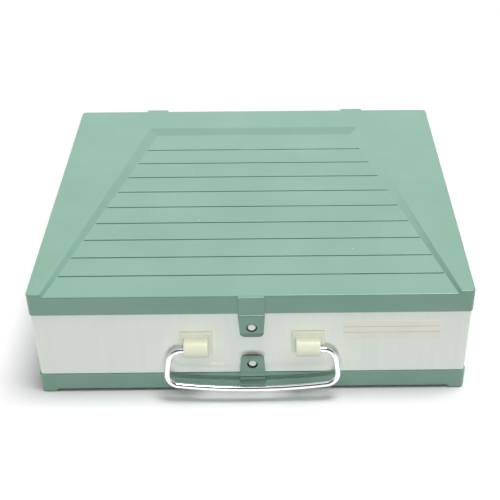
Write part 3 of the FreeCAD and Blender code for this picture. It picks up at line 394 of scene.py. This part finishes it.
def makeIvoryPlastic():
    # Injection-moulded polypropylene, yellower than the case: small fittings with rounded arrises,
    # a little translucent, so that light spreads inside them.
    i = ivoryPlastic
    material, tree = newMaterial("ivory moulded plastic")
    coordinates = addNode(tree, "ShaderNodeTexCoord")
    flow = addNode(tree, "ShaderNodeTexNoise", {"Scale": 1 / (i["flowSize"] * mm), "Detail": 2.0},
                   {"Vector": coordinates.outputs["Object"]})
    body = addNode(tree, "ShaderNodeMix",
                   {"data_type": "RGBA", 6: linearColour(i["deep"]), 7: linearColour(i["light"])},
                   {0: flow.outputs["Fac"]})
    # painted shade on faces that look up
    normal = coordinates.outputs["Normal"]
    upwards = addNode(tree, "ShaderNodeSeparateXYZ", {}, {"Vector": normal}).outputs["Z"]
    turnStart, turnEnd = i["shadeTurn"]
    upFacingShade = addNode(tree, "ShaderNodeMapRange",
                      {"From Min": turnStart, "From Max": turnEnd, "To Max": i["shadeShare"]},
                      {"Value": upwards})
    colour = addNode(tree, "ShaderNodeMix", {"data_type": "RGBA", 7: linearColour(i["darkerTone"])},
                     {0: upFacingShade.outputs[0], 6: body.outputs[2]})
    soft = addNode(tree, "ShaderNodeBevel", {"samples": edgeSamples, "Radius": i["edgeSoftness"] * mm})
    shader = addNode(tree, "ShaderNodeBsdfPrincipled",
                     {"IOR": i["ior"], "Roughness": i["roughness"], "Subsurface Weight": i["glowShare"],
                      "Subsurface Radius": i["glowColours"], "Subsurface Scale": i["glowDepth"] * mm},
                     {"Base Color": colour.outputs[2], "Normal": soft.outputs[0]})
    addNode(tree, "ShaderNodeOutputMaterial", {}, {"Surface": shader.outputs[0]})
    return material


# Handle

chromeWire = {
    "colour": "F0F0F4",
    "dulled": "D2D0D0",
    "wearSize": 3.0,        # mm, patches where the plating has dulled
    "wearLevels": (0.6, 0.8),
    "roughness": 0.05,
    "dulledRoughness": 0.25,
}


def makeChromeWire():
    # Chrome-plated steel wire: mirror bright, with a little dulling in small patches.
    c = chromeWire
    material, tree = newMaterial("chrome plated steel wire")
    place = addNode(tree, "ShaderNodeTexCoord").outputs["Object"]
    wear = addNode(tree, "ShaderNodeTexNoise", {"Scale": 1 / (c["wearSize"] * mm), "Detail": 4.0},
                   {"Vector": place})
    wearStart, wearEnd = c["wearLevels"]
    mask = addNode(tree, "ShaderNodeMapRange", {"From Min": wearStart, "From Max": wearEnd},
                   {"Value": wear.outputs["Fac"]})
    colour = addNode(tree, "ShaderNodeMix",
                     {"data_type": "RGBA", 6: linearColour(c["colour"]), 7: linearColour(c["dulled"])},
                     {0: mask.outputs[0]})
    dull = addNode(tree, "ShaderNodeMapRange", {"To Min": c["roughness"], "To Max": c["dulledRoughness"]},
                   {"Value": mask.outputs[0]})
    shader = addNode(tree, "ShaderNodeBsdfPrincipled", {"Metallic": 1.0},
                     {"Base Color": colour.outputs[2], "Roughness": dull.outputs[0]})
    addNode(tree, "ShaderNodeOutputMaterial", {}, {"Surface": shader.outputs[0]})
    return material


# Hinge pins

drawnSteel = {
    "colour": "9C9A96",
    "lineWidth": 0.15,      # mm across a drawing line
    "lineLength": 9,        # mm
    "lineStrength": 0.2,
    "lineHeight": 0.05,     # mm
    "roughness": (0.26, 0.46),
}


def makeDrawnSteel():
    # Plain drawn steel pin: grey, with fine lines along its length.
    d = drawnSteel
    material, tree = newMaterial("drawn steel pin")
    place = addNode(tree, "ShaderNodeTexCoord").outputs["Object"]
    fine = 1 / (d["lineWidth"] * mm)
    stretched = addNode(tree, "ShaderNodeMapping", {"Scale": (1 / (d["lineLength"] * mm), fine, fine)},
                        {"Vector": place})
    lines = addNode(tree, "ShaderNodeTexNoise", {"Scale": 1.0, "Detail": 2.0},
                    {"Vector": stretched.outputs[0]})
    bump = addNode(tree, "ShaderNodeBump",
                   {"Strength": d["lineStrength"], "Distance": d["lineHeight"] * mm},
                   {"Height": lines.outputs["Fac"]})
    smoothest, dullest = d["roughness"]
    dull = addNode(tree, "ShaderNodeMapRange", {"To Min": smoothest, "To Max": dullest},
                   {"Value": lines.outputs["Fac"]})
    shader = addNode(tree, "ShaderNodeBsdfPrincipled",
                     {"Metallic": 1.0, "Base Color": linearColour(d["colour"])},
                     {"Roughness": dull.outputs[0], "Normal": bump.outputs[0]})
    addNode(tree, "ShaderNodeOutputMaterial", {}, {"Surface": shader.outputs[0]})
    return material


# Label

labelPaper = {
    "paper": "FFFCF0",
    # browned paper, in patches
    "darkerTone": "F8EEDA",
    "stainSize": 14,        # mm
    "stainLevels": (0.5, 0.95),
    "line": "9FB0B4",
    "lineSpacing": 4.6,     # mm between the two ruled lines
    "lineWidth": 0.28,      # mm, half of it at full strength on either side
    "lineShare": 0.55,
    "fibre": 0.7,           # mm, paper fibres, coarse enough to show
    "fibreStrength": 0.25,
    "fibreHeight": 0.05,    # mm
    "roughness": 0.75,
}


def makeLabelPaper():
    # Uncoated gummed paper: warm white, browned a little in patches, with two ruled lines.
    p = labelPaper
    material, tree = newMaterial("gummed label paper")
    place = addNode(tree, "ShaderNodeTexCoord").outputs["Object"]
    stain = addNode(tree, "ShaderNodeTexNoise", {"Scale": 1 / (p["stainSize"] * mm), "Detail": 3.0},
                    {"Vector": place})
    stainStart, stainEnd = p["stainLevels"]
    stained = addNode(tree, "ShaderNodeMapRange", {"From Min": stainStart, "From Max": stainEnd},
                      {"Value": stain.outputs["Fac"]})
    ground = addNode(tree, "ShaderNodeMix",
                     {"data_type": "RGBA", 6: linearColour(p["paper"]), 7: linearColour(p["darkerTone"])},
                     {0: stained.outputs[0]})

    # distance from the nearer of two lines, one above and one below the middle
    low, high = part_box("paper_label")
    height = addNode(tree, "ShaderNodeSeparateXYZ", {}, {"Vector": place}).outputs["Z"]
    fromMiddle = addNode(tree, "ShaderNodeMath", {"operation": "SUBTRACT", 1: (low[2] + high[2]) / 2},
                         {0: height})
    folded = addNode(tree, "ShaderNodeMath", {"operation": "ABSOLUTE"}, {0: fromMiddle.outputs[0]})
    fromLine = addNode(tree, "ShaderNodeMath", {"operation": "SUBTRACT", 1: p["lineSpacing"] / 2 * mm},
                       {0: folded.outputs[0]})
    apart = addNode(tree, "ShaderNodeMath", {"operation": "ABSOLUTE"}, {0: fromLine.outputs[0]})
    ruled = addNode(tree, "ShaderNodeMapRange",
                    {"From Min": p["lineWidth"] / 2 * mm, "From Max": p["lineWidth"] * mm,
                     "To Min": p["lineShare"], "To Max": 0.0},
                    {"Value": apart.outputs[0]})
    colour = addNode(tree, "ShaderNodeMix", {"data_type": "RGBA", 7: linearColour(p["line"])},
                     {0: ruled.outputs[0], 6: ground.outputs[2]})
    fibre = addNode(tree, "ShaderNodeTexNoise", {"Scale": 1 / (p["fibre"] * mm), "Detail": 5.0},
                    {"Vector": place})
    bump = addNode(tree, "ShaderNodeBump",
                   {"Strength": p["fibreStrength"], "Distance": p["fibreHeight"] * mm},
                   {"Height": fibre.outputs["Fac"]})
    shader = addNode(tree, "ShaderNodeBsdfPrincipled", {"Roughness": p["roughness"]},
                     {"Base Color": colour.outputs[2], "Normal": bump.outputs[0]})
    addNode(tree, "ShaderNodeOutputMaterial", {}, {"Surface": shader.outputs[0]})
    return material


finishes = [
    (makeGreenPlastic(), ["top_cover", "bottom_cover", "upper_latch_flap", "lower_latch_flap"]),
    (makeCreamPlastic(), ["case_frame", "rack_floor", "rack_comb_left", "rack_comb_right", "rack_divider_1",
                          "rack_divider_2", "rack_divider_3", "rack_divider_4", "upper_latch_stud",
                          "lower_latch_stud"]),
    (makeIvoryPlastic(), ["handle_clip_left", "handle_clip_right", "clip_retainer_left",
                          "clip_retainer_right"]),
    (makeChromeWire(), ["handle_wire"]),
    (makeDrawnSteel(), ["lid_hinge_pin_left", "lid_hinge_pin_right", "base_hinge_pin_left",
                        "base_hinge_pin_right"]),
    (makeLabelPaper(), ["paper_label"]),
]
print("materials made")

for material, nodeNames in finishes:
    for nodeName in nodeNames:
        dress(nodeName, material)
print("solids dressed")


# Pale bead at the foot of the upper latch's root, where the flap bends: a painted highlight along the crease

creaseBead = {
    "colour": "C6DBD0",
    "mottleSize": 1.2,       # mm
    "mottleLevels": (0.3, 0.6),
    "roughness": 0.4,
    "radius": 0.3,          # mm
    "sides": 16,
    "above": 0.32,          # mm from the flap's top up to the bead's middle
    "proud": 0.1,           # mm that its middle stands before the face
    "endGap": 0.6,          # mm short of the flap's sides
    "endRounding": 0.2,     # mm
    "endSegments": 3,
}


def makeCreaseHighlight():
    # A pale bead along the film hinge as a painted highlight: paler than the parts beside it, mottled a
    # little.
    b = creaseBead
    material, tree = newMaterial("pale crease film, painted highlight")
    place = addNode(tree, "ShaderNodeTexCoord").outputs["Object"]
    mottle = addNode(tree, "ShaderNodeTexNoise", {"Scale": 1 / (b["mottleSize"] * mm), "Detail": 3.0},
                    {"Vector": place})
    mottleStart, mottleEnd = b["mottleLevels"]
    share = addNode(tree, "ShaderNodeMapRange", {"From Min": mottleStart, "From Max": mottleEnd},
                    {"Value": mottle.outputs["Fac"]})
    colour = addNode(tree, "ShaderNodeMix",
                     {"data_type": "RGBA", 6: linearColour(greenPlastic["paleWearAndLight"]),
                      7: linearColour(b["colour"])},
                     {0: share.outputs[0]})
    shader = addNode(tree, "ShaderNodeBsdfPrincipled",
                     {"IOR": greenPlastic["ior"], "Roughness": b["roughness"]},
                     {"Base Color": colour.outputs[2]})
    addNode(tree, "ShaderNodeOutputMaterial", {}, {"Surface": shader.outputs[0]})
    return material


smoothAngle = math.radians(40)  # sharper edges than this stay sharp in shading
endFacing = 0.9  # share of a face's normal that lies along the axis


def selectEnds(piece, axis):
    # the faces that look along one axis, either way
    for face in piece.data.polygons:
        face.select = abs(face.normal[axis]) > endFacing


def makeCreaseBead():
    b = creaseBead
    low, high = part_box("upper_latch_flap")
    middle = ((low[0] + high[0]) / 2, low[1] - b["proud"] * mm, high[2] + b["above"] * mm)
    length = high[0] - low[0] - 2 * b["endGap"] * mm
    deselectAll()
    bpy.ops.mesh.primitive_cylinder_add(vertices=b["sides"], radius=b["radius"] * mm, depth=length,
                                        location=middle, rotation=(0, math.pi / 2, 0))
    bead = bpy.context.object
    bead.name = "upper_crease_bead"
    bpy.ops.object.transform_apply(location=True, rotation=True, scale=True)
    selectEnds(bead, 0)
    bpy.ops.object.mode_set(mode="EDIT")
    bpy.ops.mesh.select_mode(type="FACE")
    bpy.ops.mesh.bevel(offset=b["endRounding"] * mm, segments=b["endSegments"])
    bpy.ops.object.mode_set(mode="OBJECT")
    bpy.ops.object.shade_smooth_by_angle(angle=smoothAngle)
    bead.data.materials.append(makeCreaseHighlight())
    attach(bead, "lid")


makeCreaseBead()
print("crease bead made")


# Dark ring on the wall round each latch stud, seen through the flap's hole: a painted shadow in the gap

shadowRing = {
    "colour": "1A241F",
    "lighterShadow": "2E3A33",
    "speckleSize": 0.5,       # mm
    "speckleStrength": 0.4,
    "speckleHeight": 0.05,    # mm
    "roughness": 0.9,
    "shine": 0.2,
    "reach": 1.5,           # mm beyond the stud's rim
    "overlap": 0.2,         # mm inside it
    "sides": 48,
    "thickness": 0.18,      # mm
    "edgeRounding": 0.06,   # mm
    "edgeSegments": 2,
}


def makeGapShadow():
    # Painted shadow for the gap behind the flap: almost black and matt, speckled a little.
    d = shadowRing
    material, tree = newMaterial("painted gap shadow")
    place = addNode(tree, "ShaderNodeTexCoord").outputs["Object"]
    speckle = addNode(tree, "ShaderNodeTexNoise", {"Scale": 1 / (d["speckleSize"] * mm), "Detail": 4.0},
                     {"Vector": place})
    colour = addNode(tree, "ShaderNodeMix",
                     {"data_type": "RGBA", 6: linearColour(d["colour"]), 7: linearColour(d["lighterShadow"])},
                     {0: speckle.outputs["Fac"]})
    bump = addNode(tree, "ShaderNodeBump",
                   {"Strength": d["speckleStrength"], "Distance": d["speckleHeight"] * mm},
                   {"Height": speckle.outputs["Fac"]})
    shader = addNode(tree, "ShaderNodeBsdfPrincipled",
                     {"Roughness": d["roughness"], "Specular IOR Level": d["shine"]},
                     {"Base Color": colour.outputs[2], "Normal": bump.outputs[0]})
    addNode(tree, "ShaderNodeOutputMaterial", {}, {"Surface": shader.outputs[0]})
    return material


def makeShadowRing(stud, material):
    d = shadowRing
    low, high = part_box(stud)
    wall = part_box("case_frame")[0][1]
    rim = (high[0] - low[0]) / 2
    outer = rim + d["reach"] * mm
    middle = ((low[0] + high[0]) / 2, wall - d["thickness"] / 2 * mm, (low[2] + high[2]) / 2)
    deselectAll()
    bpy.ops.mesh.primitive_cylinder_add(vertices=d["sides"], radius=outer, depth=d["thickness"] * mm,
                                        location=middle, rotation=(math.pi / 2, 0, 0))
    ring = bpy.context.object
    ring.name = stud.replace("latch_stud", "shadow_ring")
    bpy.ops.object.transform_apply(location=True, rotation=True, scale=True)
    selectEnds(ring, 1)
    bpy.ops.object.mode_set(mode="EDIT")
    bpy.ops.mesh.select_mode(type="FACE")
    bpy.ops.mesh.inset(thickness=outer - rim + d["overlap"] * mm)
    bpy.ops.mesh.bridge_edge_loops()
    bpy.ops.mesh.select_all(action="SELECT")
    bpy.ops.mesh.normals_make_consistent(inside=False)
    bpy.ops.object.mode_set(mode="OBJECT")
    bevel = ring.modifiers.new("rounding", "BEVEL")
    bevel.width = d["edgeRounding"] * mm
    bevel.segments = d["edgeSegments"]
    bpy.ops.object.modifier_apply(modifier=bevel.name)
    bpy.ops.object.shade_smooth_by_angle(angle=smoothAngle)
    ring.data.materials.append(material)
    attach(ring, "frame")


shadow = makeGapShadow()
for stud in ("upper_latch_stud", "lower_latch_stud"):
    makeShadowRing(stud, shadow)
print("dirt rings made")


# Floor

studioFloor = {
    "size": 12000,          # mm
    "drop": 0.03,           # mm below the case, so that their faces don't coincide
    "fade": (450, 950),     # mm from the case, over which it turns into the white background
    "colour": "EAEAEA",
    "inMirrors": "FFFFFF",
    "bounce": "7C7C7C",     # what it gives back to surfaces
    "glow": 0.05,           # what it adds in mirrors
    "roughness": 0.7,
    "shine": 0.1,
}


def makeFloor():
    # Painted board: white for the camera and for mirrors, greyer for the light it throws back up.
    f = studioFloor
    deselectAll()
    bpy.ops.mesh.primitive_plane_add(size=f["size"] * mm, location=(0, 0, -f["drop"] * mm))
    floor = bpy.context.object
    floor.name = "studio_floor"
    material, tree = newMaterial("studio floor")
    path = addNode(tree, "ShaderNodeLightPath")
    seen = addNode(tree, "ShaderNodeMix",
                   {"data_type": "RGBA", 6: linearColour(f["colour"]), 7: linearColour(f["inMirrors"])},
                   {0: path.outputs["Is Glossy Ray"]})
    colour = addNode(tree, "ShaderNodeMix", {"data_type": "RGBA", 7: linearColour(f["bounce"])},
                     {0: path.outputs["Is Diffuse Ray"], 6: seen.outputs[2]})
    glow = addNode(tree, "ShaderNodeMath", {"operation": "MULTIPLY", 1: f["glow"]},
                   {0: path.outputs["Is Glossy Ray"]})
    shader = addNode(tree, "ShaderNodeBsdfPrincipled",
                     {"Roughness": f["roughness"], "Specular IOR Level": f["shine"],
                      "Emission Color": (1, 1, 1, 1)},
                     {"Base Color": colour.outputs[2], "Emission Strength": glow.outputs[0]})

    # far from the case it is as white as the background
    place = addNode(tree, "ShaderNodeTexCoord").outputs["Object"]
    reach = addNode(tree, "ShaderNodeVectorMath", {"operation": "LENGTH"}, {0: place})
    start, end = f["fade"]
    far = addNode(tree, "ShaderNodeMapRange", {"From Min": start * mm, "From Max": end * mm},
                  {"Value": reach.outputs["Value"]})
    farSeen = addNode(tree, "ShaderNodeMath", {"operation": "MULTIPLY"},
                      {0: far.outputs[0], 1: path.outputs["Is Camera Ray"]})
    white = addNode(tree, "ShaderNodeEmission", {"Color": (1, 1, 1, 1)})
    faded = addNode(tree, "ShaderNodeMixShader", {},
                    {0: farSeen.outputs[0], 1: shader.outputs[0], 2: white.outputs[0]})
    addNode(tree, "ShaderNodeOutputMaterial", {}, {"Surface": faded.outputs[0]})
    floor.data.materials.append(material)


makeFloor()
print("floor made")


# Lamps: places, aims and sizes in mm, power in watts

lowStrip = {"size": (600, 80), "aim": (0, 0, 30), "colour": "F8FCFF", "inMirrors": False}

lamps = {
    # nearly overhead, a little to the right
    "key_light": {"place": (820, 0, 4000), "size": (1600, 1600), "aim": (0, 0, 0), "power": 124,
                  "colour": "FFFFFF", "inMirrors": True},
    # cool strips just above the floor, which fill the upright faces, fainter beside and behind
    "front_lamp": {**lowStrip, "place": (60, -1620, 45), "aim": (0, -120, 30), "power": 8.5},
    "side_lamp_1": {**lowStrip, "place": (1620, 0, 45), "power": 1.2},
    "side_lamp_2": {**lowStrip, "place": (-1620, 0, 45), "power": 3.5},
    "side_lamp_3": {**lowStrip, "place": (0, 1620, 45), "power": 4.5},
}


def makeLamp(name, values):
    bpy.ops.object.light_add(type="AREA", location=[value * mm for value in values["place"]])
    lamp = bpy.context.object
    lamp.name = name
    lamp.visible_glossy = values["inMirrors"]
    lamp.data.shape = "RECTANGLE"
    lamp.data.size, lamp.data.size_y = (value * mm for value in values["size"])
    lamp.data.energy = values["power"]
    lamp.data.color = linearColour(values["colour"])[:3]
    aim = Vector([value * mm for value in values["aim"]]) - lamp.location
    lamp.rotation_euler = aim.to_track_quat("-Z", "Y").to_euler()


for lampName, lampValues in lamps.items():
    makeLamp(lampName, lampValues)
print("lamps made")


# Room: levels of light by direction, each direction a vector of length 1 (right, away, up)

room = {
    "ambient": (0.0, 1.15),  # at the horizon and overhead
    "ambientPower": 2.0,    # how much of it keeps to overhead
    "wall": (0.5, 1.15),    # mirrored: a dim room behind with a pale wall
    "wallDirection": (0.05, 0.86, 0.5),
    "wallEdge": (0.86, 0.97),  # cosine of the angle from that direction, dim and full
    "front": (1.05, 0.08),  # mirrored: low down in front, and higher up
    "frontHeights": (0.15, 0.5),
    "frontEdge": (-0.02, -0.2),  # where the back ends and the front starts
    "panel": 1.5,           # mirrored: diffuser overhead
    "panelHeights": (0.5, 0.7),
    "panelSides": (0.5, 0.3),
    "panelFront": (-0.24, -0.14),
    "panelBack": (0.12, 0.02),
}


def makeRoom():
    # Soft light that is strongest overhead, white for the camera, and for mirrors a room with a
    # pale wall behind the case, a diffuser overhead and a front that darkens upwards.
    r = room
    world = bpy.data.worlds.new("studio")
    bpy.context.scene.world = world
    world.use_nodes = True
    tree = world.node_tree
    tree.nodes.clear()
    path = addNode(tree, "ShaderNodeLightPath")
    direction = addNode(tree, "ShaderNodeTexCoord").outputs["Generated"]
    across, away, height = addNode(tree, "ShaderNodeSeparateXYZ", {}, {"Vector": direction}).outputs

    horizon, overhead = r["ambient"]
    steep = addNode(tree, "ShaderNodeMath", {"operation": "POWER", 1: r["ambientPower"]}, {0: height})
    ambient = addNode(tree, "ShaderNodeMapRange", {"To Min": horizon, "To Max": overhead},
                      {"Value": steep.outputs[0]})

    # back and front of the mirrored room
    wallCentre = Vector(r["wallDirection"]).normalized()
    towards = addNode(tree, "ShaderNodeVectorMath", {"operation": "DOT_PRODUCT", 1: wallCentre},
                      {0: direction})
    dim, full = r["wallEdge"]
    dimLevel, fullLevel = r["wall"]
    back = addNode(tree, "ShaderNodeMapRange",
                   {"From Min": dim, "From Max": full, "To Min": dimLevel, "To Max": fullLevel},
                   {"Value": towards.outputs["Value"]})
    low, high = r["frontHeights"]
    lowLevel, highLevel = r["front"]
    front = addNode(tree, "ShaderNodeMapRange",
                    {"From Min": low, "From Max": high, "To Min": lowLevel, "To Max": highLevel},
                    {"Value": height})
    backEnd, frontStart = r["frontEdge"]
    inFront = addNode(tree, "ShaderNodeMapRange", {"From Min": backEnd, "From Max": frontStart},
                      {"Value": away})
    around = addNode(tree, "ShaderNodeMix", {},
                     {0: inFront.outputs[0], 2: back.outputs[0], 3: front.outputs[0]})

    # the diffuser, with four soft limits
    aside = addNode(tree, "ShaderNodeMath", {"operation": "ABSOLUTE"}, {0: across})
    start, end = r["panelHeights"]
    panel = addNode(tree, "ShaderNodeMapRange", {"From Min": start, "From Max": end, "To Max": r["panel"]},
                    {"Value": height})
    for source, (start, end) in ((aside.outputs[0], r["panelSides"]), (away, r["panelFront"]),
                                 (away, r["panelBack"])):
        limit = addNode(tree, "ShaderNodeMapRange", {"From Min": start, "From Max": end}, {"Value": source})
        panel = addNode(tree, "ShaderNodeMath", {"operation": "MULTIPLY"},
                        {0: panel.outputs[0], 1: limit.outputs[0]})
    mirrored = addNode(tree, "ShaderNodeMath", {"operation": "ADD"},
                       {0: around.outputs[0], 1: panel.outputs[0]})

    lit = addNode(tree, "ShaderNodeBackground", {"Color": (1, 1, 1, 1)}, {"Strength": ambient.outputs[0]})
    inMirrors = addNode(tree, "ShaderNodeBackground", {"Color": (1, 1, 1, 1)},
                        {"Strength": mirrored.outputs[0]})
    seen = addNode(tree, "ShaderNodeBackground", {"Color": (1, 1, 1, 1), "Strength": 1.0})
    unseen = addNode(tree, "ShaderNodeMixShader", {},
                     {0: path.outputs["Is Glossy Ray"], 1: lit.outputs[0], 2: inMirrors.outputs[0]})
    mixed = addNode(tree, "ShaderNodeMixShader", {},
                    {0: path.outputs["Is Camera Ray"], 1: unseen.outputs[0], 2: seen.outputs[0]})
    addNode(tree, "ShaderNodeOutputWorld", {}, {"Surface": mixed.outputs[0]})


makeRoom()
print("room made")


# Camera: the photograph's own place, turn and framing

camera = {
    "place": (13.43, -614.55, 461.12),  # mm
    "tilt": 0.6109,         # radians down from level
    "roll": -0.0034,        # radians
    "yaw": -0.0108,         # radians
    "focalPixels": 1003.58,
    "centre": (280.98, 246.1),  # where the lens axis meets the picture, in its pixels
    "pictureSize": 500,     # pixels
    "sensorWidth": 36,      # mm
    "nearest": 10,          # mm, what is closer isn't shown
}


def makeCamera():
    c = camera
    bpy.ops.object.camera_add()
    eye = bpy.context.object
    eye.name = "photo_camera"
    right = Vector((math.cos(c["yaw"]), math.sin(c["yaw"]), 0))
    ahead = Vector((-math.sin(c["yaw"]) * math.cos(c["tilt"]), math.cos(c["yaw"]) * math.cos(c["tilt"]),
                    -math.sin(c["tilt"])))
    upwards = right.cross(ahead)
    across = right * math.cos(c["roll"]) + upwards * math.sin(c["roll"])
    above = upwards * math.cos(c["roll"]) - right * math.sin(c["roll"])
    turn = Matrix((across, above, -ahead)).transposed().to_4x4()
    eye.matrix_world = Matrix.Translation(Vector(c["place"]) * mm) @ turn
    eye.data.sensor_width = c["sensorWidth"]
    eye.data.lens = c["focalPixels"] / c["pictureSize"] * c["sensorWidth"]
    eye.data.shift_x = -(c["centre"][0] - c["pictureSize"] / 2) / c["pictureSize"]
    eye.data.shift_y = (c["centre"][1] - c["pictureSize"] / 2) / c["pictureSize"]
    eye.data.clip_start = c["nearest"] * mm
    bpy.context.scene.camera = eye


makeCamera()
bpy.context.scene.view_settings.view_transform = "Standard"
print("camera set")
